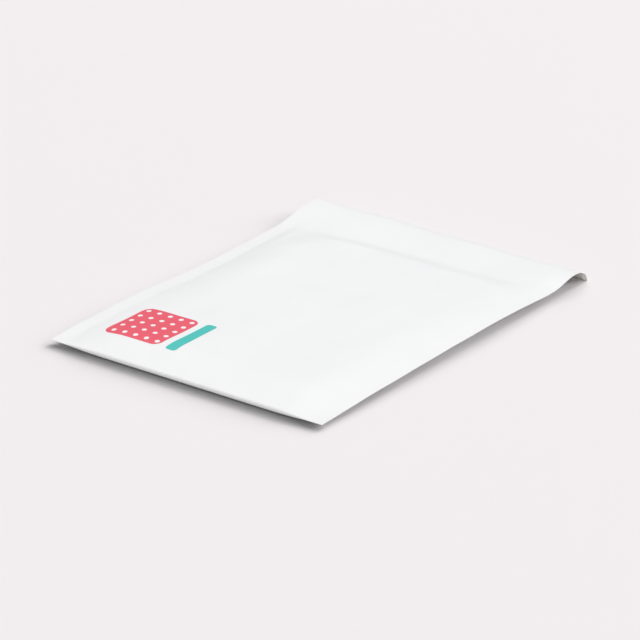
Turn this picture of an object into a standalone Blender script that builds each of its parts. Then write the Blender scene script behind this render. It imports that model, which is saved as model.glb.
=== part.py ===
"""Padded mailing envelope lying face up with its flap open.

The outer envelope is one folded sheet of paper: front panel, flap, bottom fold and back
panel, glued together along two side seams. A folded bubble lining lies inside it as a
pocket. The flap carries a strip of adhesive under a release liner.

x runs across the envelope, y from the bottom fold to the flap, z up. The part rests on z = 0,
and its origin is under the middle of its whole outline.
"""

import math

import bmesh
import bpy

MM = 0.001

# Paper envelope
WIDTH = 240 * MM
BODY_LENGTH = 280 * MM  # bottom fold to mouth
PAPER = 0.3 * MM
SEAM_WIDTH = 12 * MM
PAD_HEIGHT = 13 * MM  # top of the filled middle above the table
LEFT_SHOULDER = 24 * MM  # from the seam's inner line to full height
RIGHT_SHOULDER = 26 * MM
BACK_SHOULDER = 20 * MM  # from the seam's inner line to where the back lies flat
FOLD_RADIUS = 2.1 * MM
FOLD_HEIGHT = 3.4 * MM  # middle of the rounded bottom fold above the table
FOLD_SLOPE = 34 * MM  # from the bottom fold to full height
FOLD_LIFT = 16 * MM  # how far the lifted fold keeps the back off the table

# How high the two seams ride above the table: share of the body's length, height
LEFT_SEAM_LIFT = (
    (0, 3.7 * MM), (0.16, 7.6 * MM), (0.33, 8.4 * MM), (0.48, 6.8 * MM),
    (0.63, 5.3 * MM), (0.76, 3.8 * MM), (1, 5.0 * MM),
)
RIGHT_SEAM_LIFT = (
    (0, 3.5 * MM), (0.19, 5.3 * MM), (0.35, 6.4 * MM), (0.51, 7.2 * MM),
    (0.69, 8.0 * MM), (0.86, 7.5 * MM), (1, 6.1 * MM),
)

# Dip between the pad and the flap
CREASE_AT = 277 * MM
CREASE_SLOPE = 22 * MM
CREASE_HEIGHT = (6.6 * MM, 9.6 * MM)  # left and right of the filled middle
CORNER_CUT = 80 * MM  # pad's empty far left corner, measured along either side
CORNER_SLOPE = 40 * MM
CORNER_HEIGHT = 7 * MM

# Flap: it rises to a crest, and its free end curls down
RISE_START = (262 * MM, 286 * MM)  # at the left and right edges
CREST_AT = 313.5 * MM
CREST_HEIGHT = (12.5 * MM, 11.2 * MM)  # at the left and right edges
CREST_DIP = 1.1 * MM  # how much lower its middle lies
CURL_REACH = 16.5 * MM
TIP_HEIGHT = 0.6 * MM

# Bubble lining
FIT = 0.3 * MM  # clearance between pieces that touch
LINING = 3.2 * MM  # one layer
LINING_SHARE = 0.45  # most of the room inside that one layer may take
LINING_START = 6 * MM
LINING_END = 259 * MM
LINING_SIDE_GAP = 7 * MM  # from the seam's inner line
LINING_SEAL = 6 * MM
LINING_FOLD = 16 * MM  # where its two layers part

# Adhesive strip and its release liner, on the flap's underside
ADHESIVE = 0.3 * MM
ADHESIVE_END_GAP = 9 * MM
ADHESIVE_ARC = (34, 78)  # degrees round the curl from the crest
LINER = 0.3 * MM
LINER_END_GAP = 1.5 * MM
LINER_ARC = (16, 88)

# Printed fields on the front: a square and a bar beside it
MARK_SIZE = 50 * MM
MARK_FROM_SIDE = 27 * MM
MARK_FROM_FOLD = 23 * MM
BAR_WIDTH = 9 * MM
BAR_GAP = 6 * MM

# Mesh steps
STEP_ACROSS = 14 * MM
STEP_ALONG = 16 * MM
STEP_ON_SLOPE = STEP_ALONG / 3
STEP_ON_RISE = STEP_ALONG / 2
NEAR_EDGE = STEP_ALONG / 8  # lines this near to an edge's own line are left out
FOLD_STEPS = 4
CURL_STEPS = 6
SEAM_STEPS = 2
SHOULDER_STEP = 4.7 * MM
QUARTER_TURN = 90  # degrees of the flap's curl, from its crest to its free end
SHARP_EDGE = 40  # degrees between two faces
FACES_UP = 0.5  # least upward share of a printed face's normal

HALF = WIDTH / 2
SEAM_LINE = HALF - SEAM_WIDTH
OVERALL = CREST_AT + CURL_REACH


def place(x, y, z):
    """A point of the drawing, moved so that the outline's middle is over the origin."""
    return (x, y - OVERALL / 2, z)


def clamp(value):
    return min(1.0, max(0.0, value))


def ease(value):
    """Smooth step from 0 to 1 with level ends."""
    value = clamp(value)
    return value * value * (3 - 2 * value)


def swell(value):
    """Quick rise from 0 that levels out at 1, as a filled skin does."""
    return math.sin(clamp(value) * math.pi / 2)


def mix(low, high, share):
    return low + (high - low) * share


def between(stations, share):
    """Straight runs between pairs of share and value."""
    for (start, low), (end, high) in zip(stations, stations[1:]):
        if share <= end:
            return mix(low, high, (share - start) / (end - start))
    return stations[-1][1]


# The outer skin


def fold_radius(x):
    """The rounded fold flattens towards the corners."""
    inside = swell((SEAM_LINE - abs(x)) / FOLD_SLOPE)
    return mix(PAPER, FOLD_RADIUS, inside)


def seam_lift(x, y):
    share = clamp(y / BODY_LENGTH)
    left = between(LEFT_SEAM_LIFT, share)
    right = between(RIGHT_SEAM_LIFT, share)
    return mix(left, right, ease(x / WIDTH + 0.5))


def shoulder_share(x):
    """0 at the seams' inner lines and 1 over the filled middle."""
    width = LEFT_SHOULDER if x < 0 else RIGHT_SHOULDER
    return swell((SEAM_LINE - abs(x)) / width)


def crease_height(x, y):
    inside = shoulder_share(x)
    middle = mix(*CREASE_HEIGHT, x / WIDTH + 0.5)
    return mix(seam_lift(x, y), middle, inside)


def crest_height(x):
    dip = CREST_DIP * swell((HALF - abs(x)) / (2 * SEAM_WIDTH))
    return mix(*CREST_HEIGHT, x / WIDTH + 0.5) - dip


def pad_height(x, y):
    """The filled body between the seams, without its sloping ends."""
    seam = seam_lift(x, y)
    height = mix(seam, PAD_HEIGHT, shoulder_share(x))
    past_corner = (CORNER_CUT - (x + HALF) - (BODY_LENGTH - y)) / math.sqrt(2)
    return mix(height, min(height, CORNER_HEIGHT), ease(past_corner / CORNER_SLOPE))


def front_height(x, y):
    """Outer face of the front panel, from the fold to the flap's rise."""
    radius = fold_radius(x)
    fold_top = FOLD_HEIGHT + radius
    height = mix(fold_top, pad_height(x, y), swell((y - radius) / FOLD_SLOPE))
    dip = ease((y - CREASE_AT + CREASE_SLOPE) / CREASE_SLOPE)
    height = mix(height, crease_height(x, y), dip)
    start = mix(*RISE_START, x / WIDTH + 0.5)
    rise = ease((y - start) / (CREST_AT - start))
    return mix(height, crest_height(x), rise)


def back_height(x, y):
    """Outer face of the back panel: flat on the table between its raised edges."""
    radius = fold_radius(x)
    edge = clamp((abs(x) - SEAM_LINE + BACK_SHOULDER) / BACK_SHOULDER) ** 2
    side = (seam_lift(x, y) - 2 * PAPER) * edge
    fold = clamp(1 - (y - radius) / FOLD_LIFT) ** 2
    return mix(side, FOLD_HEIGHT - radius, fold)


def curl_point(x, degrees, depth=0.0):
    """A point of the flap's curl, at a depth under its outer face."""
    angle = math.radians(degrees)
    drop = crest_height(x) - TIP_HEIGHT
    normal = (math.sin(angle) * drop, math.cos(angle) * CURL_REACH)
    length = math.hypot(*normal)
    y = CREST_AT + CURL_REACH * math.sin(angle) - depth * normal[0] / length
    z = TIP_HEIGHT + drop * math.cos(angle) - depth * normal[1] / length
    return (x, y, z)


# Grid lines


def even_steps(start, end, step):
    count = max(1, round((end - start) / step))
    return [start + (end - start) * index / count for index in range(count + 1)]


def with_edges(lines, edges, near):
    """Grid lines with the edges' own lines added, and the others left out near them."""
    kept = [line for line in lines if all(abs(line - edge) > near for edge in edges)]
    return sorted(kept + list(edges))


def mark_edges_across():
    left = -HALF + MARK_FROM_SIDE
    bar = left + MARK_SIZE + BAR_GAP
    return [left, left + MARK_SIZE, bar, bar + BAR_WIDTH]


def mark_edges_along():
    return [MARK_FROM_FOLD, MARK_FROM_FOLD + MARK_SIZE]


def lining_edges_across():
    """The lining's right side, and the inner line of its sealed edge."""
    side = SEAM_LINE - LINING_SIDE_GAP
    return [side, side - LINING_SEAL]


def columns():
    """Lines across the envelope, edge to edge, closer together on the shoulders."""
    near = SHOULDER_STEP
    shoulder = even_steps(SEAM_LINE - RIGHT_SHOULDER, SEAM_LINE, near)
    seam = even_steps(SEAM_LINE, HALF, SEAM_WIDTH / SEAM_STEPS)[1:]
    middle = even_steps(-shoulder[0], shoulder[0], STEP_ACROSS)[1:-1]
    half = [SEAM_LINE, HALF] + lining_edges_across()
    edges = mark_edges_across() + half + [-x for x in half]
    lines = [-x for x in shoulder + seam] + middle + shoulder + seam
    return with_edges(lines, edges, near / 2)


def rows():
    """Lines along the body, from the fold to the mouth, closer where it slopes."""
    slope_end = FOLD_SLOPE + FOLD_RADIUS
    dip_start = CREASE_AT - CREASE_SLOPE
    start = even_steps(FOLD_RADIUS, slope_end, STEP_ON_SLOPE)
    middle = even_steps(slope_end, dip_start, STEP_ALONG)[1:]
    dip = even_steps(dip_start, CREASE_AT, STEP_ON_SLOPE)[1:]
    edges = [FOLD_RADIUS, LINING_START, LINING_FOLD, LINING_END] + mark_edges_along()
    return with_edges(start + middle + dip, edges, NEAR_EDGE) + [BODY_LENGTH]


# Meshes


class Surface:
    """Vertices with names, so that neighbouring faces share them, and the faces."""

    def __init__(self):
        self.mesh = bmesh.new()
        self.points = {}

    def point(self, key, xyz):
        self.points[key] = self.mesh.verts.new(place(*xyz))

    def same(self, key, other):
        self.points[key] = self.points[other]

    def face(self, *keys):
        """A face through named points. Two skins that meet along it cancel each other out."""
        loop = []
        for vertex in (self.points[key] for key in keys):
            if vertex not in loop:
                loop.append(vertex)
        if len(loop) < 3:
            return
        doubled = self.mesh.faces.get(loop)
        if doubled:
            self.mesh.faces.remove(doubled)
        else:
            self.mesh.faces.new(loop)

    def sheet(self, name, i, j, turned=False):
        """One square of a named grid, cut the same way in every grid so that they nest.

        A grid whose rows run the other way is turned.
        """
        near, far = (j + 1, j) if turned else (j, j + 1)
        self.face((name, i, near), (name, i + 1, near), (name, i + 1, far))
        self.face((name, i, near), (name, i + 1, far), (name, i, far))

    def join(self, name, other, start, end):
        """One strip between the same edge of two grids."""
        self.face((name, *start), (name, *end), (other, *end), (other, *start))

    def finish(self, name, materials, paint=None):
        bmesh.ops.recalc_face_normals(self.mesh, faces=self.mesh.faces)
        data = bpy.data.meshes.new(name)
        self.mesh.to_mesh(data)
        self.mesh.free()
        for item in materials:
            data.materials.append(item)
        if paint:
            for polygon in data.polygons:
                polygon.material_index = paint(polygon)
        data.shade_smooth()
        data.set_sharp_from_angle(angle=math.radians(SHARP_EDGE))
        thing = bpy.data.objects.new(name, data)
        bpy.context.scene.collection.objects.link(thing)
        return thing


def material(name, colour, roughness):
    item = bpy.data.materials.new(name)
    item.use_nodes = True
    shader = item.node_tree.nodes["Principled BSDF"]
    shader.inputs["Base Color"].default_value = (*colour, 1)
    shader.inputs["Roughness"].default_value = roughness
    shader.inputs["Metallic"].default_value = 0
    return item


def paper_path(x):
    """Outer and inner points of the sheet at one column, from the flap's tip to the mouth.

    Also gives how many of them are flap and how many are fold.
    """
    path = []
    for index in range(CURL_STEPS + 1):
        degrees = QUARTER_TURN * (1 - index / CURL_STEPS)
        path.append((curl_point(x, degrees), curl_point(x, degrees, PAPER)))
    rise = even_steps(BODY_LENGTH, CREST_AT, STEP_ON_RISE)
    for y in reversed(rise[1:-1]):
        z = front_height(x, y)
        path.append(((x, y, z), (x, y, z - PAPER)))
    flap = len(path)
    radius = fold_radius(x)
    along = [y - FOLD_RADIUS + radius if y == FOLD_RADIUS else y for y in rows()]
    for y in reversed(along):
        z = front_height(x, y)
        path.append(((x, y, z), (x, y, z - PAPER)))
    for index in range(1, FOLD_STEPS):
        angle = math.pi * (0.5 - index / FOLD_STEPS)
        pair = []
        for reach in (radius, radius - PAPER):
            y = radius - reach * math.cos(angle)
            pair.append((x, y, FOLD_HEIGHT + reach * math.sin(angle)))
        path.append(tuple(pair))
    for y in along:
        z = back_height(x, y)
        path.append(((x, y, z), (x, y, z + PAPER)))
    return path, flap, len(along)


def paper_envelope(paper, square_ink, bar_ink):
    surface = Surface()
    lines = columns()
    last_column = len(lines) - 1
    for i, x in enumerate(lines):
        path, mouth, body_rows = paper_path(x)
        last = len(path) - 1
        fold = mouth + body_rows - 1
        for j, (outer, inner) in enumerate(path):
            surface.point(("out", i, j), outer)
            seam = abs(x) >= SEAM_LINE - FIT / 10
            if not seam or j <= mouth:
                surface.point(("in", i, j), inner)
            elif abs(x) < SEAM_LINE + FIT / 10:
                if j <= fold:
                    surface.point(("in", i, j), inner)
                elif j > last - body_rows:
                    surface.same(("in", i, j), ("in", i, mouth + last - j))
                else:
                    surface.same(("in", i, j), ("in", i, fold))

    def in_pocket(i):
        return abs(lines[i]) < SEAM_LINE + FIT / 10

    for i in range(last_column):
        for j in range(last):
            surface.sheet("out", i, j)
            if j < mouth or (in_pocket(i) and in_pocket(i + 1)):
                surface.sheet("in", i, j)
        surface.join("out", "in", (i, 0), (i + 1, 0))
        ends = [("in", c, last if in_pocket(c) else mouth) for c in (i, i + 1)]
        surface.face(("out", i, last), ("out", i + 1, last), ends[1], ends[0])

    for i in (0, last_column):
        for j in range(mouth):
            surface.join("out", "in", (i, j), (i, j + 1))
        for step in range(body_rows - 1):
            front = mouth + step
            back = last - step
            lip = [("in", i, mouth)] if step == 0 else []
            surface.face(
                *lip, ("out", i, front), ("out", i, front + 1),
                ("out", i, back - 1), ("out", i, back),
            )
        surface.face(*[("out", i, j) for j in range(fold, last - body_rows + 2)])

    def paint(polygon):
        """Material slot of a face: 1 on the printed square, 2 on the bar, 0 elsewhere."""
        x, y, _ = polygon.center
        y += OVERALL / 2
        left, right, bar_left, bar_right = mark_edges_across()
        low, high = mark_edges_along()
        if polygon.normal.z < FACES_UP or not low < y < high:
            return 0
        if polygon.center.z < seam_lift(x, y) or not left < x < bar_right:
            return 0
        inside_the_pocket = polygon.center.z < front_height(x, y) - PAPER / 2
        if inside_the_pocket:
            return 0
        if x < right:
            return 1
        return 2 if x > bar_left else 0

    surface.finish("paper_envelope", [paper, square_ink, bar_ink], paint)


def bubble_lining(film):
    """Two padded layers joined at the bottom and the sides, open towards the mouth."""
    surface = Surface()
    side, seal = lining_edges_across()
    lines = [x for x in columns() if abs(x) <= side]
    first, last = lines.index(-seal), lines.index(seal)
    along = [y for y in rows() if LINING_START <= y <= LINING_END]
    fold = along.index(LINING_FOLD)
    end = len(along) - 1
    skin = PAPER + FIT
    for i, x in enumerate(lines):
        for j, y in enumerate(along):
            top = front_height(x, y) - skin * slope_factor(front_height, x, y)
            bottom = back_height(x, y) + skin * slope_factor(back_height, x, y)
            surface.point(("top", i, j), (x, y, top))
            surface.point(("bottom", i, j), (x, y, bottom))
            if not first <= i <= last or j < fold:
                continue
            rim = i in (first, last) or j == fold
            if rim:
                surface.point(("roof", i, j), (x, y, (top + bottom) / 2))
                surface.same(("floor", i, j), ("roof", i, j))
            else:
                layer = min(LINING, LINING_SHARE * (top - bottom))
                surface.point(("roof", i, j), (x, y, top - layer))
                surface.point(("floor", i, j), (x, y, bottom + layer))

    for i in range(len(lines) - 1):
        for j in range(end):
            surface.sheet("top", i, j, turned=True)
            surface.sheet("bottom", i, j)
            if first <= i < last and j >= fold:
                surface.sheet("roof", i, j, turned=True)
                surface.sheet("floor", i, j)
        surface.join("top", "bottom", (i, 0), (i + 1, 0))
        if first <= i < last:
            surface.join("top", "roof", (i, end), (i + 1, end))
            surface.join("bottom", "floor", (i, end), (i + 1, end))
    across = len(lines) - 1
    for edge, rim, seal_columns in (
        (0, first, range(first + 1)),
        (across, last, range(across, last - 1, -1)),
    ):
        top = [("top", i, end) for i in seal_columns]
        bottom = [("bottom", i, end) for i in reversed(seal_columns)]
        surface.face(*top, ("roof", rim, end), *bottom)
        for j in range(end):
            surface.join("top", "bottom", (edge, j), (edge, j + 1))
    surface.finish("bubble_lining", [film])


def slope_factor(height, x, y):
    """How much taller a skin of even thickness stands where its face slopes."""
    reach = MM
    across = (height(x + reach, y) - height(x - reach, y)) / (2 * reach)
    along = (height(x, y + reach) - height(x, y - reach)) / (2 * reach)
    return math.sqrt(1 + across * across + along * along)


def curl_strip(name, end_gap, arc, depth, thickness, stuff):
    """A strip that follows the inside of the flap's curl."""
    surface = Surface()
    lines = even_steps(-HALF + end_gap, HALF - end_gap, STEP_ACROSS)
    turns = even_steps(arc[0], arc[1], QUARTER_TURN / CURL_STEPS)
    for i, x in enumerate(lines):
        for j, degrees in enumerate(turns):
            surface.point(("out", i, j), curl_point(x, degrees, depth))
            surface.point(("in", i, j), curl_point(x, degrees, depth + thickness))
    across, round_curl = len(lines) - 1, len(turns) - 1
    for i in range(across):
        for j in range(round_curl):
            surface.sheet("out", i, j)
            surface.sheet("in", i, j)
        surface.join("out", "in", (i, 0), (i + 1, 0))
        surface.join("out", "in", (i, round_curl), (i + 1, round_curl))
    for j in range(round_curl):
        surface.join("out", "in", (0, j), (0, j + 1))
        surface.join("out", "in", (across, j), (across, j + 1))
    surface.finish(name, [stuff])


def clear_scene():
    for thing in list(bpy.data.objects):
        bpy.data.objects.remove(thing, do_unlink=True)


def main():
    clear_scene()
    paper = material("white_paper", (0.9, 0.9, 0.91), 0.75)
    square_ink = material("coral_ink", (0.81, 0.13, 0.17), 0.7)
    bar_ink = material("teal_ink", (0.09, 0.61, 0.53), 0.7)
    film = material("clear_bubble_film", (0.82, 0.85, 0.87), 0.3)
    glue = material("clear_adhesive", (0.86, 0.84, 0.78), 0.35)
    liner = material("cream_release_liner", (0.72, 0.66, 0.58), 0.5)

    paper_envelope(paper, square_ink, bar_ink)
    bubble_lining(film)
    adhesive_depth = PAPER + FIT
    liner_depth = adhesive_depth + ADHESIVE + FIT
    curl_strip("adhesive_strip", ADHESIVE_END_GAP, ADHESIVE_ARC, adhesive_depth, ADHESIVE, glue)
    curl_strip("release_liner", LINER_END_GAP, LINER_ARC, liner_depth, LINER, liner)


main()
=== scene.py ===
"""Padded mailing envelope with an open flap: the looks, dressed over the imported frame."""

import math

import bpy
import numpy as np
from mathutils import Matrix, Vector


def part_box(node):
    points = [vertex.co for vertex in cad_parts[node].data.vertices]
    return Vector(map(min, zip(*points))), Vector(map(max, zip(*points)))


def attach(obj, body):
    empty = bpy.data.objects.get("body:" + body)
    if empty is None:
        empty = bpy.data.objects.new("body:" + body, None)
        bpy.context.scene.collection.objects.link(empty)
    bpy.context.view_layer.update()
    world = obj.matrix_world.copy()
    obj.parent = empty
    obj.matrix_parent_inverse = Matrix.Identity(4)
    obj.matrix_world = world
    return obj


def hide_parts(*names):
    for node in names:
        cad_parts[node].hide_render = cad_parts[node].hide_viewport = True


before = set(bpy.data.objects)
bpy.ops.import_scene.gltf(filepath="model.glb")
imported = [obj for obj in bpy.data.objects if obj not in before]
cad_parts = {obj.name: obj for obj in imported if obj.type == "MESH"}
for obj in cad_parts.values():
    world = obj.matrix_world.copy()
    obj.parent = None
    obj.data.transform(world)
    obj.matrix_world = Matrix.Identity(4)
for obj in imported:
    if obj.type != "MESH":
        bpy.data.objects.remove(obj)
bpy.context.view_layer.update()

MM = 0.001

# The envelope's outline, from the frame
LOW, HIGH = (list(corner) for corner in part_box("paper_envelope"))
WIDTH = HIGH[0] - LOW[0]
HALF = WIDTH / 2

# The folded sheet. Distances along it start at the bottom fold, and heights at the table.
BODY_LENGTH = 280 * MM
PAPER = 0.22 * MM
SHARP_EDGE = 40  # degrees, past which an edge stays sharp

# Side seams
SEAM_WIDTH = 12 * MM
SEAM_LINE = HALF - SEAM_WIDTH
SEAM_GAP = 0.04 * MM
SEAM_TILT = (0.03, 0.21)  # slope of the left and right seams, down towards their edges
TILT_START = 30 * MM  # from the fold, where the tilt is whole
FLUTTER_START = 40 * MM  # where the flutter is
# How high the seams ride above the table: distance from the fold, height
LEFT_SEAM_LIFT = ((0, 3.7), (45, 7.6), (92, 8.4), (134, 6.8), (175, 5.3), (212, 4.6), (280, 4.6))
RIGHT_SEAM_LIFT = ((0, 3.5), (54, 5.3), (97, 6.4), (142, 7.2), (192, 8.0), (240, 7.5), (280, 6.1))

# Bottom fold
FOLD_RADIUS = 2.1 * MM
FOLD_HEIGHT = 3.4 * MM  # of its middle above the table
FOLD_SLOPE = 34 * MM  # how far the padding takes to rise from the fold
FOLD_LIFT = 16 * MM  # how far the back panel takes to come down from the fold
FOLD_SQUARENESS = 0.7  # 1 is a round fold, and less is squarer

# Filled middle
PAD_HEIGHT = 12.7 * MM
LEFT_SHOULDER = 40 * MM  # width of the slope between seam and middle
LEFT_STEP = (9 * MM, 0.05)  # width and share of the short rise beside the left seam
RIGHT_SHOULDER = 27 * MM
RIGHT_SHOULDER_POWER = 1.1
BACK_SHOULDER = 20 * MM  # inside the seams, the back panel comes down over this width
# Where the padding leans to one side: height, centre, reach along and across, turn in degrees
PAD_LEAN = (1.4 * MM, (28 * MM, 158 * MM), (52 * MM, 27 * MM), -66)

# Crease under the flap, with the padding's empty far left corner
CREASE_AT = 277 * MM
CREASE_SLOPE = 22 * MM  # how far before it the padding starts to fall
CREASE_HEIGHT = (6.9 * MM, 9.9 * MM)  # at the left and right
CORNER_CUT = 98 * MM  # how far the empty corner reaches along each side
CORNER_SLOPE = 56 * MM
CORNER_HEIGHT = 7.8 * MM  # the most it stands

# Open flap, which rises to a crest and curls down to the table
RISE_START = (262 * MM, 286 * MM)  # at the left and right
CREST_AT = 313.5 * MM
CREST_HEIGHT = (11.3 * MM, 10.4 * MM)  # at the left and right
CREST_DIP = 0.4 * MM  # how much lower it lies between its ends
CURL_REACH = 16.5 * MM  # from the crest to the tip
TIP_HEIGHT = 0.05 * MM

# How the left corners stick out past the side between them
FRONT_FLARE = (4.5 * MM, 62 * MM)  # how far out, and how far along
BACK_FLARE = (3.3 * MM, 140 * MM, 262 * MM)  # how far out, and where it starts and is whole

# Ripples: height, wavelength, how much x and y count, seed, number of waves
SEAM_FLUTTER = (0.2 * MM, 62 * MM, (0.3, 1), 5, 4)
CREST_RIPPLE = (0.5 * MM, 90 * MM, (1, 0), 11, 4)
BROAD_RIPPLE = (0.35 * MM, 95 * MM, (1, 1), 3, 7)
SHORT_RIPPLE = (0.12 * MM, 34 * MM, (1, 1), 8, 7)
SIDE_PUCKERS = (0.16 * MM, 21 * MM, (0.3, 1), 21, 5)
FRONT_PUCKERS = (0.2 * MM, 19 * MM, (1, 0.25), 31, 6)
CREASE_PUCKERS = (0.22 * MM, 30 * MM, (1, 0.3), 41, 5)
WAVE_SPREAD = (0.7, 1.5)  # shortest and longest wave, in wavelengths
WAVE_LEVEL = 0.7  # keeps most of the sum within the height

# Bands that hold the puckers: where they are strongest, and their half width
SIDE_BAND = (8 * MM, 8 * MM)  # from the seams' inner lines
FRONT_BAND = (7 * MM, 6 * MM)  # from the fold
CREASE_BAND = (CREASE_AT, 9 * MM)
PUCKER_SIDES = 20 * MM  # how far inside the seams the front ones are whole
PUCKER_START = 4 * MM  # how far from the fold all are whole

# Bubble film
FIT = 0.3 * MM  # between one sheet and the next
LINING = 3.2 * MM  # one layer, bubbles and all
LINING_START = 8 * MM
LINING_END = 259 * MM
LINING_SIDE_GAP = 7 * MM
LINING_SIDE = SEAM_LINE - LINING_SIDE_GAP
LAYER_SHARE = 0.42  # most of the room inside that one layer may take
LEAST_ROOM = 0.6 * MM
FILM = 0.12 * MM  # the flat web alone
BUBBLE_PITCH = 11 * MM
BUBBLE_RADIUS = 4.9 * MM
BUBBLE_POWER = 2.6  # 2 is a round dome, and more is flatter on top

# Adhesive and its liner, under the curl. Arcs are in degrees from the crest.
ADHESIVE = 0.2 * MM
ADHESIVE_ROOM = 0.3 * MM  # as thick as the solid
ADHESIVE_END_GAP = 9 * MM
ADHESIVE_ARC = (34, 78)
ADHESIVE_DEPTH = PAPER + FIT
LINER = 0.15 * MM
LINER_END_GAP = 1.5 * MM
LINER_ARC = (16, 88)
LINER_DEPTH = ADHESIVE_DEPTH + ADHESIVE_ROOM + FIT

# Print on the front
MARK_SIZE = 50 * MM
MARK_FROM_SIDE = 27 * MM
MARK_FROM_FOLD = 23 * MM
MARK_CORNER = 7 * MM
BAR_WIDTH = 9 * MM
BAR_GAP = 6 * MM
BAR_CORNER = 0.3 * BAR_WIDTH
INK = 0.06 * MM  # how far the print stands off the paper
DOTS_ACROSS = 5
DOT_PITCH = MARK_SIZE / DOTS_ACROSS
DOT_RADIUS = 1.9 * MM
DOT_EDGE = 0.15 * MM  # half the width of a dot's soft rim

# Grid lines of the meshes, ends included
ACROSS_LINES = 161
CURL_LINES = 15
FLAP_LINES = 25
FRONT_LINES = 146
FRONT_FOLD_LINES = 19
FOLD_LINES = 13
BACK_FOLD_LINES = 13
BACK_LINES = 48
NEAR_FOLD = 20 * MM  # the lines lie closer between here and the fold
FILM_LINES = (140, 168)  # across and along
STRIP_LINES = (90, 14)  # across and round the curl
PATCH_RINGS = 30
PATCH_POINTS = 240  # round its rim

# Colours, each pair from its darker to its lighter tone
PAPER_TONES = ((0.880, 0.884, 0.890), (0.896, 0.9, 0.906))
CORAL = (0.87, 0.113, 0.163)
TEAL = (0.075, 0.575, 0.53)
INK_SHADE = 0.93  # the darker tone of an ink, as a share of the lighter
FILM_TONES = ((0.78, 0.82, 0.85), (0.88, 0.91, 0.93))
ADHESIVE_TONES = ((0.8, 0.78, 0.7), (0.86, 0.84, 0.77))
LINER_TONES = ((0.8, 0.75, 0.69), (0.87, 0.82, 0.76))
FLOOR_COLOUR = (0.869, 0.869, 0.869)

# Roughness, from its lower to its higher value
PAPER_ROUGHNESS = (0.66, 0.8)
INK_ROUGHNESS = (0.5, 0.66)
FILM_ROUGHNESS = (0.12, 0.26)
ADHESIVE_ROUGHNESS = (0.2, 0.35)
LINER_ROUGHNESS = (0.4, 0.55)
FLOOR_ROUGHNESS = 0.9

# Sheen of the paper and the table, and how the film passes light
PAPER_SPECULAR = 0.35
FLOOR_SPECULAR = 0.1
FILM_TRANSMISSION = 0.55
FILM_IOR = 1.25
FILM_ALPHA = 0.72

# Noises: scale in cells per metre, levels of detail, weight of the finer levels
PAPER_CLOUD = (30, 3, 0.5)
PAPER_GLOSS = (380, 3, 0.55)
FIBRES = (1400, 4, 0.65)
COCKLE = (140, 3, 0.5)
INK_GRAIN = (900, 3, 0.6)
FILM_HAZE = (60, 3, 0.55)
FILM_WRINKLES = (260, 2, 0.55)
ADHESIVE_NOISES = ((90, 3, 0.55), (360, 2, 0.55))  # for its colour, and for its roughness
LINER_NOISES = ((70, 3, 0.55), (280, 2, 0.55))
NOISE_SPAN = (0.3, 0.7)  # the noise's values that get the two ends of a pair

# Relief of the surfaces
FIBRE_STRETCH = (1.0, 0.45, 1.0)
COCKLE_WEIGHT = 1.6  # against the fibres
FIBRE_DEPTH = 0.05 * MM
PAPER_FIBRE_STRENGTH = 0.35
STRIP_FIBRE_STRENGTH = 0.2
WRINKLE_DEPTH = 0.2 * MM
WRINKLE_STRENGTH = 0.3

# Table, half its side in metres
FLOOR_REACH = 14.0

# Lamps: strength, direction they shine from, softness in degrees
ENVELOPE_LAMPS = {
    "room": (2.51, (0.19, -0.04, 1.0), 150),
    "front_fill": (0.35, (0.5, -0.8, 0.3), 70),
}
TABLE_WINDOWS = {
    "back_window": (2.7, (0.0, 0.87, 0.32), 22),
    "back_left_window": (0.95, (-0.36, 0.8, 0.32), 22),
    "high_window": (0.48, (-0.1, 0.6, 0.6), 30),
    "left_window": (0.6, (-0.6, 0.6, 0.6), 24),
    "right_window": (1.72, (0.55, 0.75, 0.345), 28),
}
ROOM_COLOUR = (1.0, 1.0, 1.0)
WINDOW_COLOUR = (1.0, 0.948, 0.97)
SKY = 0.2

# Camera, fitted to the photograph
PHOTO = 640  # pixels, square
FOCAL_PIXELS = 4500
SENSOR = 36  # millimetres
AZIMUTH = 36.92  # degrees, from the front edge to the right
ELEVATION = 23.49
DISTANCE = 3.286
LOOK_AT = (5.06 * MM, 151.14 * MM)  # on the table, from the middle of the width and the fold
CLIP_END = 40.0


def clamp(value):
    return np.clip(value, 0.0, 1.0)


def ease(value):
    """From 0 to 1, level at both ends."""
    value = clamp(value)
    return value * value * (3 - 2 * value)


def swell(value):
    """From 0 to 1, steep at the start and level at the end."""
    return np.sin(clamp(value) * math.pi / 2)


def mix(low, high, share):
    return low + (high - low) * share


def through(stations, y):
    """Smooth curve through pairs of distance and height, both in millimetres."""
    at, height = (np.array(column) * MM for column in zip(*stations))
    slope = np.gradient(height, at)
    index = np.clip(np.searchsorted(at, y, side="right") - 1, 0, len(at) - 2)
    span = at[index + 1] - at[index]
    share = clamp((y - at[index]) / span)
    level = mix(height[index], height[index + 1], ease(share))
    start = slope[index] * span * share * (1 - share) ** 2
    end = slope[index + 1] * span * share ** 2 * (1 - share)
    return level + start - end


def ridge(distance, middle, half_width):
    """Soft ridge of height 1."""
    return np.exp(-(((distance - middle) / half_width) ** 2))


def lean(x, y, height, centre, reach, turn):
    """Soft patch that rises to one side and sinks to the other, through 0 at its middle."""
    angle = math.radians(turn)
    dx, dy = x - centre[0], y - centre[1]
    along = (dx * math.cos(angle) + dy * math.sin(angle)) / reach[0]
    across = (-dx * math.sin(angle) + dy * math.cos(angle)) / reach[1]
    return height * across * np.exp(-(along ** 2) - across ** 2)


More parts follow.
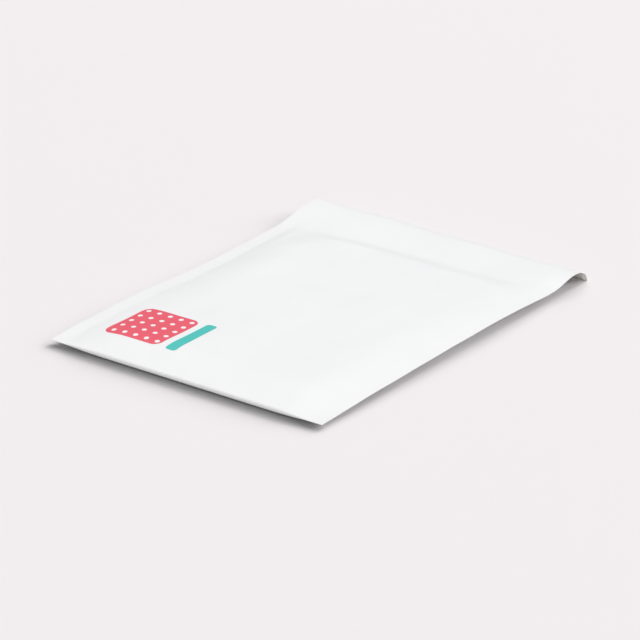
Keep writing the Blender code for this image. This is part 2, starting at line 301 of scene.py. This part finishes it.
def waves(x, y, height, length, counts, seed, number):
    """Smooth random ripples, up and down to about the height."""
    draw = np.random.default_rng(seed)
    x, y = x * counts[0], y * counts[1]
    total = 0
    for _ in range(number):
        angle = draw.uniform(0, 2 * math.pi)
        size = length * draw.uniform(*WAVE_SPREAD)
        phase = draw.uniform(0, 2 * math.pi)
        way = x * math.cos(angle) + y * math.sin(angle)
        total = total + np.sin(way * 2 * math.pi / size + phase)
    return height * (total / math.sqrt(number) * WAVE_LEVEL)


# The outer skin, for whole arrays of points


def fold_radius(x):
    """Radius of the bottom fold, which flattens out into the seams."""
    inside = swell((SEAM_LINE - np.abs(x)) / FOLD_SLOPE)
    return mix(PAPER + SEAM_GAP, FOLD_RADIUS, inside)


def seam_lift(x, y):
    """Height of the seams' upper skin, carried over from side to side between them."""
    left = through(LEFT_SEAM_LIFT, y)
    right = through(RIGHT_SEAM_LIFT, y)
    tilt = np.where(x < 0, *SEAM_TILT) * np.clip(HALF - np.abs(x), 0, SEAM_WIDTH)
    flutter = waves(np.sign(x), y, *SEAM_FLUTTER) * swell(y / FLUTTER_START)
    return mix(left, right, ease(x / WIDTH + 0.5)) + flutter + tilt * swell(y / TILT_START)


def shoulder_share(x):
    """0 at the seams' inner lines and 1 over the filled middle."""
    inside = SEAM_LINE - np.abs(x)
    step = ease(inside / LEFT_STEP[0])
    left = mix(swell(inside / LEFT_SHOULDER), step, LEFT_STEP[1])
    return np.where(x < 0, left, swell(inside / RIGHT_SHOULDER) ** RIGHT_SHOULDER_POWER)


def crease_height(x, y):
    """Height of the front where the padding has ended."""
    inside = shoulder_share(x)
    middle = mix(*CREASE_HEIGHT, x / WIDTH + 0.5)
    return mix(seam_lift(x, y), middle, inside)


def crest_height(x):
    """Height of the flap's highest line."""
    sides = swell((HALF - np.abs(x)) / (2 * SEAM_WIDTH))
    uneven = waves(x, x, *CREST_RIPPLE)
    return mix(*CREST_HEIGHT, x / WIDTH + 0.5) + (uneven - CREST_DIP) * sides


def pad_height(x, y):
    """Height of the padded front, without its near and far ends."""
    height = mix(seam_lift(x, y), PAD_HEIGHT + slump(x, y), shoulder_share(x))
    past_corner = (CORNER_CUT - (x + HALF) - (BODY_LENGTH - y)) / math.sqrt(2)
    return mix(height, np.minimum(height, CORNER_HEIGHT), ease(past_corner / CORNER_SLOPE))


def slump(x, y):
    """Broad unevenness of the filled middle."""
    return waves(x, y, *BROAD_RIPPLE) + waves(x, y, *SHORT_RIPPLE) + lean(x, y, *PAD_LEAN)


def puckers(x, y):
    """Short wrinkles that run in from the seams, up from the fold and over the crease."""
    inside = SEAM_LINE - np.abs(x)
    side = ridge(inside, *SIDE_BAND) * waves(x, y, *SIDE_PUCKERS)
    near = ridge(y, *FRONT_BAND) * swell(inside / PUCKER_SIDES)
    crease = ridge(y, *CREASE_BAND) * waves(x, y, *CREASE_PUCKERS)
    return side + near * waves(x, y, *FRONT_PUCKERS) + crease


def front_height(x, y):
    """Height of the front's and the flap's upper skin, from the fold to the crest."""
    radius = fold_radius(x)
    height = mix(FOLD_HEIGHT + radius, pad_height(x, y), swell((y - radius) / FOLD_SLOPE))
    dip = ease((y - CREASE_AT + CREASE_SLOPE) / CREASE_SLOPE)
    height = mix(height, crease_height(x, y), dip)
    start = mix(*RISE_START, x / WIDTH + 0.5)
    rise = ease((y - start) / (CREST_AT - start))
    height = mix(height, crest_height(x), rise)
    away = ease((y - radius) / PUCKER_START) * (1 - rise)
    return height + puckers(x, y) * away * swell((HALF - np.abs(x)) / SEAM_WIDTH)


def back_height(x, y):
    """Height of the back panel's lower skin."""
    radius = fold_radius(x)
    edge = clamp((np.abs(x) - SEAM_LINE + BACK_SHOULDER) / BACK_SHOULDER) ** 2
    on_seam = np.sign(x) * np.maximum(np.abs(x), SEAM_LINE)
    side = (front_height(on_seam, y) - 2 * PAPER - SEAM_GAP) * edge
    fold = clamp(1 - (y - radius) / FOLD_LIFT) ** 2
    return mix(side, FOLD_HEIGHT - radius, fold)


def curl_point(x, degrees, depth=0.0):
    """Points across the curl, at an angle from its crest and a depth under its outer skin."""
    angle = np.radians(degrees)
    drop = crest_height(x) - TIP_HEIGHT
    across, along = np.sin(angle) * drop, np.cos(angle) * CURL_REACH
    length = np.hypot(across, along)
    y = CREST_AT + CURL_REACH * np.sin(angle) - depth * across / length
    z = TIP_HEIGHT + drop * np.cos(angle) - depth * along / length
    return np.stack([x + 0 * y, y, z], -1)


def drawn_in(points):
    """The left side is drawn in between its corners, as the padding pulls it."""
    x, y, z = points.T
    front = FRONT_FLARE[0] * ease(1 - y / FRONT_FLARE[1])
    back = BACK_FLARE[0] * ease((y - BACK_FLARE[1]) / (BACK_FLARE[2] - BACK_FLARE[1]))
    return np.stack([x - (front + back) * ease(-x / HALF), y, z], -1)


# Mesh helpers


def make_object(name, points, faces, stuff):
    """A smooth mesh from points in the drawing's place, moved to the frame's."""
    data = bpy.data.meshes.new(name)
    moved = drawn_in(np.array(points, dtype=float).reshape(-1, 3)) + (0, LOW[1], 0)
    data.from_pydata(moved.tolist(), [], [tuple(int(v) for v in f) for f in faces])
    data.update()
    data.shade_smooth()
    data.materials.append(stuff)
    thing = bpy.data.objects.new(name, data)
    bpy.context.scene.collection.objects.link(thing)
    return thing


def grid_faces(rows, across, start=0, turned=False):
    """Squares between the points of a grid that is stored row by row."""
    j, i = np.meshgrid(np.arange(rows - 1), np.arange(across - 1), indexing="ij")
    a = start + j * across + i
    quads = np.stack([a, a + 1, a + across + 1, a + across], -1).reshape(-1, 4)
    return quads[:, ::-1] if turned else quads


def thick_sheet(outer, inner):
    """Closed sheet between two grids of the same size: points and faces."""
    rows, across = outer.shape[:2]
    count = rows * across
    points = np.concatenate([outer.reshape(-1, 3), inner.reshape(-1, 3)])
    faces = [grid_faces(rows, across), grid_faces(rows, across, count, turned=True)]
    index = np.arange(count).reshape(rows, across)
    rim = np.concatenate([index[0, :-1], index[:-1, -1], index[-1, :0:-1], index[:0:-1, 0]])
    ahead = np.roll(rim, -1)
    faces.append(np.stack([ahead, rim, rim + count, ahead + count], -1))
    return points, np.concatenate(faces)


def normals_of(grid):
    """Unit normals of a grid of points whose rows run towards -y on its upper side."""
    along = np.gradient(grid, axis=0)
    across = np.gradient(grid, axis=1)
    normal = np.cross(along, across)
    return normal / np.linalg.norm(normal, axis=-1, keepdims=True)


# Materials


def new_material(name):
    """A material with its nodes, its links and its shader."""
    item = bpy.data.materials.new(name)
    item.use_nodes = True
    nodes = item.node_tree.nodes
    return item, nodes, item.node_tree.links, nodes["Principled BSDF"]


def noise(nodes, links, place, scale, detail, rough):
    """Smooth noise over the object's own place."""
    item = nodes.new("ShaderNodeTexNoise")
    item.inputs["Scale"].default_value = scale
    item.inputs["Detail"].default_value = detail
    item.inputs["Roughness"].default_value = rough
    links.new(place, item.inputs["Vector"])
    return item.outputs["Fac"]


def ramp(nodes, links, value, low, high):
    """Colour that follows a noise from one tone to another."""
    item = nodes.new("ShaderNodeValToRGB")
    for element, position, tone in zip(item.color_ramp.elements, NOISE_SPAN, (low, high)):
        element.position = position
        element.color = (*tone, 1)
    links.new(value, item.inputs["Fac"])
    return item.outputs["Color"]


def roughness(nodes, links, shader, value, span):
    """Roughness that follows a noise from one plain value to another."""
    low, high = ((level,) * 3 for level in span)
    links.new(ramp(nodes, links, value, low, high), shader.inputs["Roughness"])


def bumps(nodes, links, shader, height, depth, strength):
    """Relief that follows a height."""
    item = nodes.new("ShaderNodeBump")
    item.inputs["Strength"].default_value = strength
    item.inputs["Distance"].default_value = depth
    links.new(height, item.inputs["Height"])
    links.new(item.outputs["Normal"], shader.inputs["Normal"])


def maths(nodes, links, operation, value, *numbers):
    """A Math node on a value and plain numbers."""
    item = nodes.new("ShaderNodeMath")
    item.operation = operation
    links.new(value, item.inputs[0])
    for place, number in enumerate(numbers, 1):
        item.inputs[place].default_value = number
    return item


def fibres(nodes, links, shader, place, strength):
    """Short fibres and a slow cockle in the sheet."""
    stretch = nodes.new("ShaderNodeMapping")
    stretch.inputs["Scale"].default_value = FIBRE_STRETCH
    links.new(place, stretch.inputs["Vector"])
    fine = noise(nodes, links, stretch.outputs["Vector"], *FIBRES)
    slow = noise(nodes, links, place, *COCKLE)
    blend = maths(nodes, links, "MULTIPLY_ADD", slow, COCKLE_WEIGHT)
    links.new(fine, blend.inputs[2])
    bumps(nodes, links, shader, blend.outputs[0], FIBRE_DEPTH, strength)


def paper_material():
    item, nodes, links, shader = new_material("white_kraft_paper")
    place = nodes.new("ShaderNodeTexCoord").outputs["Object"]
    cloud = noise(nodes, links, place, *PAPER_CLOUD)
    links.new(ramp(nodes, links, cloud, *PAPER_TONES), shader.inputs["Base Color"])
    gloss = noise(nodes, links, place, *PAPER_GLOSS)
    roughness(nodes, links, shader, gloss, PAPER_ROUGHNESS)
    shader.inputs["Specular IOR Level"].default_value = PAPER_SPECULAR
    fibres(nodes, links, shader, place, PAPER_FIBRE_STRENGTH)
    return item


def ink_material(name, colour, dots=False):
    item, nodes, links, shader = new_material(name)
    place = nodes.new("ShaderNodeTexCoord").outputs["Object"]
    grain = noise(nodes, links, place, *INK_GRAIN)
    deep = tuple(channel * INK_SHADE for channel in colour)
    tint = ramp(nodes, links, grain, deep, colour)
    if dots:
        tint = dotted(nodes, links, place, tint)
    links.new(tint, shader.inputs["Base Color"])
    roughness(nodes, links, shader, grain, INK_ROUGHNESS)
    shader.inputs["Specular IOR Level"].default_value = PAPER_SPECULAR
    fibres(nodes, links, shader, place, PAPER_FIBRE_STRENGTH)
    return item


def dotted(nodes, links, place, tint):
    """White dots in straight rows, left free of ink."""
    split = nodes.new("ShaderNodeSeparateXYZ")
    links.new(place, split.inputs[0])
    join = nodes.new("ShaderNodeCombineXYZ")
    corner = (LOW[0] + MARK_FROM_SIDE, LOW[1] + MARK_FROM_FOLD)
    half = DOT_PITCH / 2
    for axis in (0, 1):
        across = maths(nodes, links, "SUBTRACT", split.outputs[axis], corner[axis])
        shifted = maths(nodes, links, "ADD", across.outputs[0], half)
        wrapped = maths(nodes, links, "WRAP", shifted.outputs[0], half, -half)
        links.new(wrapped.outputs[0], join.inputs[axis])
    reach = nodes.new("ShaderNodeVectorMath")
    reach.operation = "LENGTH"
    links.new(join.outputs[0], reach.inputs[0])
    edge = nodes.new("ShaderNodeMapRange")
    edge.inputs["From Min"].default_value = DOT_RADIUS - DOT_EDGE
    edge.inputs["From Max"].default_value = DOT_RADIUS + DOT_EDGE
    links.new(reach.outputs["Value"], edge.inputs["Value"])
    blend = nodes.new("ShaderNodeMix")
    blend.data_type = "RGBA"
    links.new(edge.outputs[0], blend.inputs["Factor"])
    blend.inputs["A"].default_value = (*PAPER_TONES[1], 1)
    links.new(tint, blend.inputs["B"])
    return blend.outputs["Result"]


def film_material():
    item, nodes, links, shader = new_material("clear_bubble_film")
    place = nodes.new("ShaderNodeTexCoord").outputs["Object"]
    haze = noise(nodes, links, place, *FILM_HAZE)
    links.new(ramp(nodes, links, haze, *FILM_TONES), shader.inputs["Base Color"])
    roughness(nodes, links, shader, haze, FILM_ROUGHNESS)
    shader.inputs["Transmission Weight"].default_value = FILM_TRANSMISSION
    shader.inputs["IOR"].default_value = FILM_IOR
    shader.inputs["Alpha"].default_value = FILM_ALPHA
    wrinkles = noise(nodes, links, place, *FILM_WRINKLES)
    bumps(nodes, links, shader, wrinkles, WRINKLE_DEPTH, WRINKLE_STRENGTH)
    return item


def strip_material(name, tones, rough, noises):
    item, nodes, links, shader = new_material(name)
    place = nodes.new("ShaderNodeTexCoord").outputs["Object"]
    cloud, fine = (noise(nodes, links, place, *settings) for settings in noises)
    links.new(ramp(nodes, links, cloud, *tones), shader.inputs["Base Color"])
    roughness(nodes, links, shader, fine, rough)
    fibres(nodes, links, shader, place, STRIP_FIBRE_STRENGTH)
    return item


# Pieces


def paper_rows():
    """The sheet from the flap's tip over the front, round the fold and along the back."""
    curl = [("curl", degrees) for degrees in np.linspace(90, 0, CURL_LINES)]
    front = np.concatenate([
        np.linspace(CREST_AT, BODY_LENGTH, FLAP_LINES)[1:],
        np.linspace(BODY_LENGTH, NEAR_FOLD, FRONT_LINES)[1:],
        np.linspace(NEAR_FOLD, FOLD_RADIUS, FRONT_FOLD_LINES)[1:],
    ])
    fold = [("fold", degrees) for degrees in np.linspace(90, -90, FOLD_LINES)[1:-1]]
    back = np.concatenate([
        np.linspace(FOLD_RADIUS, NEAR_FOLD, BACK_FOLD_LINES),
        np.linspace(NEAR_FOLD, BODY_LENGTH, BACK_LINES)[1:],
    ])
    return curl + [("front", y) for y in front] + fold + [("back", y) for y in back]


def paper_row(kind, value, x):
    """Points across the sheet. The value is an angle on the curl and the fold, or a distance."""
    if kind == "curl":
        return curl_point(x, value)
    radius = fold_radius(x)
    if kind == "fold":
        angle = math.radians(value)
        y = radius - radius * math.cos(angle) ** FOLD_SQUARENESS
        up = math.copysign(abs(math.sin(angle)) ** FOLD_SQUARENESS, angle)
        return np.stack([x, y, FOLD_HEIGHT + radius * up], -1)
    y = np.where(value <= FOLD_RADIUS, radius, value) + 0 * x
    height = front_height if kind == "front" else back_height
    return np.stack([x, y, height(x, y)], -1)


def paper_shell(stuff):
    """The folded sheet, with its thickness under its outer skin."""
    x = np.linspace(-HALF, HALF, ACROSS_LINES)
    outer = np.stack([paper_row(kind, value, x) for kind, value in paper_rows()])
    inner = outer - normals_of(outer) * PAPER
    points, faces = thick_sheet(outer, inner)
    shell = make_object("paper_shell", points, faces[:, ::-1], stuff)
    shell.data.set_sharp_from_angle(angle=math.radians(SHARP_EDGE))
    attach(shell, "root")
    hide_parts("paper_envelope")


def ink_patch(name, stuff, centre, size, corner):
    """A thin field of ink with rounded corners that follows the paper."""
    around = PATCH_POINTS
    turn = np.linspace(0, 2 * math.pi, 4 * around, endpoint=False)
    straight = np.array(size) / 2 - corner
    rough = np.stack([np.cos(turn), np.sin(turn)], -1)
    rough = np.where(rough >= 0, 1, -1) * straight + rough * corner
    steps = np.linalg.norm(np.roll(rough, -1, axis=0) - rough, axis=1)
    along = np.concatenate([[0], np.cumsum(steps)])
    even = np.linspace(0, along[-1], around, endpoint=False)
    closed = np.concatenate([rough, rough[:1]])
    rim = np.stack([np.interp(even, along, closed[:, axis]) for axis in (0, 1)], -1)
    shares = np.linspace(0, 1, PATCH_RINGS + 1)[1:]
    flat = np.concatenate([[[0.0, 0.0]]] + [rim * share for share in shares])
    x, y = flat[:, 0] + centre[0], flat[:, 1] + centre[1]
    top = np.stack([x, y, front_height(x, y) + INK], -1)
    faces = [(0, 1 + i, 1 + (i + 1) % around) for i in range(around)]
    for start in range(1, 1 + (PATCH_RINGS - 1) * around, around):
        for i in range(around):
            ahead = (i + 1) % around
            faces.append((start + i, start + around + i, start + around + ahead, start + ahead))
    patch = make_object(name, top, faces, stuff)
    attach(patch, "root")


def curl_band(name, node, slot, end_gap, arc, depth, thickness, stuff):
    """A strip under the curl, between two angles from its crest."""
    x = np.linspace(-HALF + end_gap, HALF - end_gap, STRIP_LINES[0])
    turns = np.linspace(arc[0], arc[1], STRIP_LINES[1])
    outer = np.stack([curl_point(x, degrees, depth) for degrees in turns])
    inner = np.stack([curl_point(x, degrees, depth + thickness) for degrees in turns])
    points, faces = thick_sheet(outer, inner)
    band = make_object(name, points, faces, stuff)
    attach(band, "root")
    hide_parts(node)


def adhesive_band():
    glue = strip_material("clear_adhesive", ADHESIVE_TONES, ADHESIVE_ROUGHNESS, ADHESIVE_NOISES)
    place = (ADHESIVE_END_GAP, ADHESIVE_ARC, ADHESIVE_DEPTH, ADHESIVE)
    curl_band("adhesive_band", "adhesive_strip", "adhesive", *place, glue)


def liner_band():
    cream = strip_material("cream_liner", LINER_TONES, LINER_ROUGHNESS, LINER_NOISES)
    place = (LINER_END_GAP, LINER_ARC, LINER_DEPTH, LINER)
    curl_band("liner_band", "release_liner", "release_liner", *place, cream)


def print_marks():
    """A dotted square and a bar, side by side."""
    square_at = (-HALF + MARK_FROM_SIDE + MARK_SIZE / 2, MARK_FROM_FOLD + MARK_SIZE / 2)
    coral = ink_material("coral_ink", CORAL, dots=True)
    ink_patch("print_square", coral, square_at, (MARK_SIZE, MARK_SIZE), MARK_CORNER)
    bar_at = (square_at[0] + MARK_SIZE / 2 + BAR_GAP + BAR_WIDTH / 2, square_at[1])
    teal = ink_material("teal_ink", TEAL)
    ink_patch("print_bar", teal, bar_at, (BAR_WIDTH, MARK_SIZE), BAR_CORNER)


def dome(x, y):
    """Height of the film's bubbles, in staggered rows, from 0 to 1."""
    row_pitch = BUBBLE_PITCH * math.sqrt(3) / 2
    row = np.round(y / row_pitch)
    shift = np.where(np.mod(row, 2) > 0.5, BUBBLE_PITCH / 2, 0)
    dx = np.mod(x + shift + BUBBLE_PITCH / 2, BUBBLE_PITCH) - BUBBLE_PITCH / 2
    dy = y - row * row_pitch
    reach = clamp(np.hypot(dx, dy) / BUBBLE_RADIUS)
    return np.sqrt(1 - reach ** BUBBLE_POWER)


def bubble_film(stuff):
    """Two layers of bubble film: a flat web towards the pocket, and domes towards the paper."""
    x = np.linspace(-LINING_SIDE, LINING_SIDE, FILM_LINES[0])
    y = np.linspace(LINING_START, LINING_END, FILM_LINES[1])
    grid_x, grid_y = np.meshgrid(x, y)
    top = front_height(grid_x, grid_y) - PAPER - FIT
    bottom = back_height(grid_x, grid_y) + PAPER + FIT
    room = np.maximum(top - bottom, LEAST_ROOM)
    layer = np.minimum(LINING, LAYER_SHARE * room)
    height = dome(grid_x, grid_y)
    start = 0
    points, faces = [], []
    for face, way in ((top, 1), (bottom, -1)):
        web = face - way * layer
        domed = web + way * (FILM + (layer - FILM) * height)
        skins = (domed, web) if way > 0 else (web, domed)
        sheets = [np.stack([grid_x, grid_y, skin], -1) for skin in skins]
        sheet_points, sheet_faces = thick_sheet(*sheets)
        points.append(sheet_points)
        faces.append(sheet_faces + start)
        start += len(sheet_points)
    film = make_object("bubble_film", np.concatenate(points), np.concatenate(faces), stuff)
    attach(film, "root")
    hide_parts("bubble_lining")


# Table, lamps and camera


def floor():
    """The pale table under the envelope, wide enough to fill the view."""
    item, _, _, shader = new_material("pale_table")
    shader.inputs["Base Color"].default_value = (*FLOOR_COLOUR, 1)
    shader.inputs["Roughness"].default_value = FLOOR_ROUGHNESS
    shader.inputs["Specular IOR Level"].default_value = FLOOR_SPECULAR
    data = bpy.data.meshes.new("table_top")
    signs = ((-1, -1), (1, -1), (1, 1), (-1, 1))
    corners = [(x * FLOOR_REACH, y * FLOOR_REACH, 0) for x, y in signs]
    data.from_pydata(corners, [], [(0, 1, 2, 3)])
    data.materials.append(item)
    table = bpy.data.objects.new("table_top", data)
    bpy.context.scene.collection.objects.link(table)
    return table


def sun(name, strength, direction, softness, colour, receivers):
    """A soft distant lamp that lights only the given objects."""
    lamp = bpy.data.lights.new(name, "SUN")
    lamp.energy = strength
    lamp.color = colour
    lamp.angle = math.radians(softness)
    thing = bpy.data.objects.new(name, lamp)
    bpy.context.scene.collection.objects.link(thing)
    thing.rotation_euler = Vector(direction).to_track_quat("Z", "Y").to_euler()
    lit = bpy.data.collections.new(name + "_lights")
    for item in receivers:
        lit.objects.link(item)
    thing.light_linking.receiver_collection = lit


def lights(envelope, table):
    """A bright even room on the paper, and low windows that draw its shadow on the table."""
    world = bpy.data.worlds.new("soft_studio")
    world.use_nodes = True
    sky = world.node_tree.nodes["Background"]
    sky.inputs["Color"].default_value = (1, 1, 1, 1)
    sky.inputs["Strength"].default_value = SKY
    bpy.context.scene.world = world
    for name, settings in ENVELOPE_LAMPS.items():
        sun(name, *settings, ROOM_COLOUR, envelope)
    for name, settings in TABLE_WINDOWS.items():
        sun(name, *settings, WINDOW_COLOUR, [table])


def camera():
    data = bpy.data.cameras.new("camera")
    data.sensor_width = SENSOR
    data.lens = FOCAL_PIXELS / PHOTO * SENSOR
    data.clip_end = CLIP_END
    eye = bpy.data.objects.new("camera", data)
    bpy.context.scene.collection.objects.link(eye)
    azimuth, elevation = math.radians(AZIMUTH), math.radians(ELEVATION)
    back = (
        math.sin(azimuth) * math.cos(elevation),
        -math.cos(azimuth) * math.cos(elevation),
        math.sin(elevation),
    )
    target = (LOOK_AT[0], LOW[1] + LOOK_AT[1], 0)
    eye.location = [t + DISTANCE * b for t, b in zip(target, back)]
    eye.rotation_euler = (math.pi / 2 - elevation, 0, azimuth)
    bpy.context.scene.camera = eye


def main():
    paper_shell(paper_material())
    print_marks()
    bubble_film(film_material())
    adhesive_band()
    liner_band()
    envelope = [item for item in bpy.data.objects if item.type == "MESH"]
    lights(envelope, floor())
    camera()
    bpy.context.scene.view_settings.view_transform = "Standard"


main()
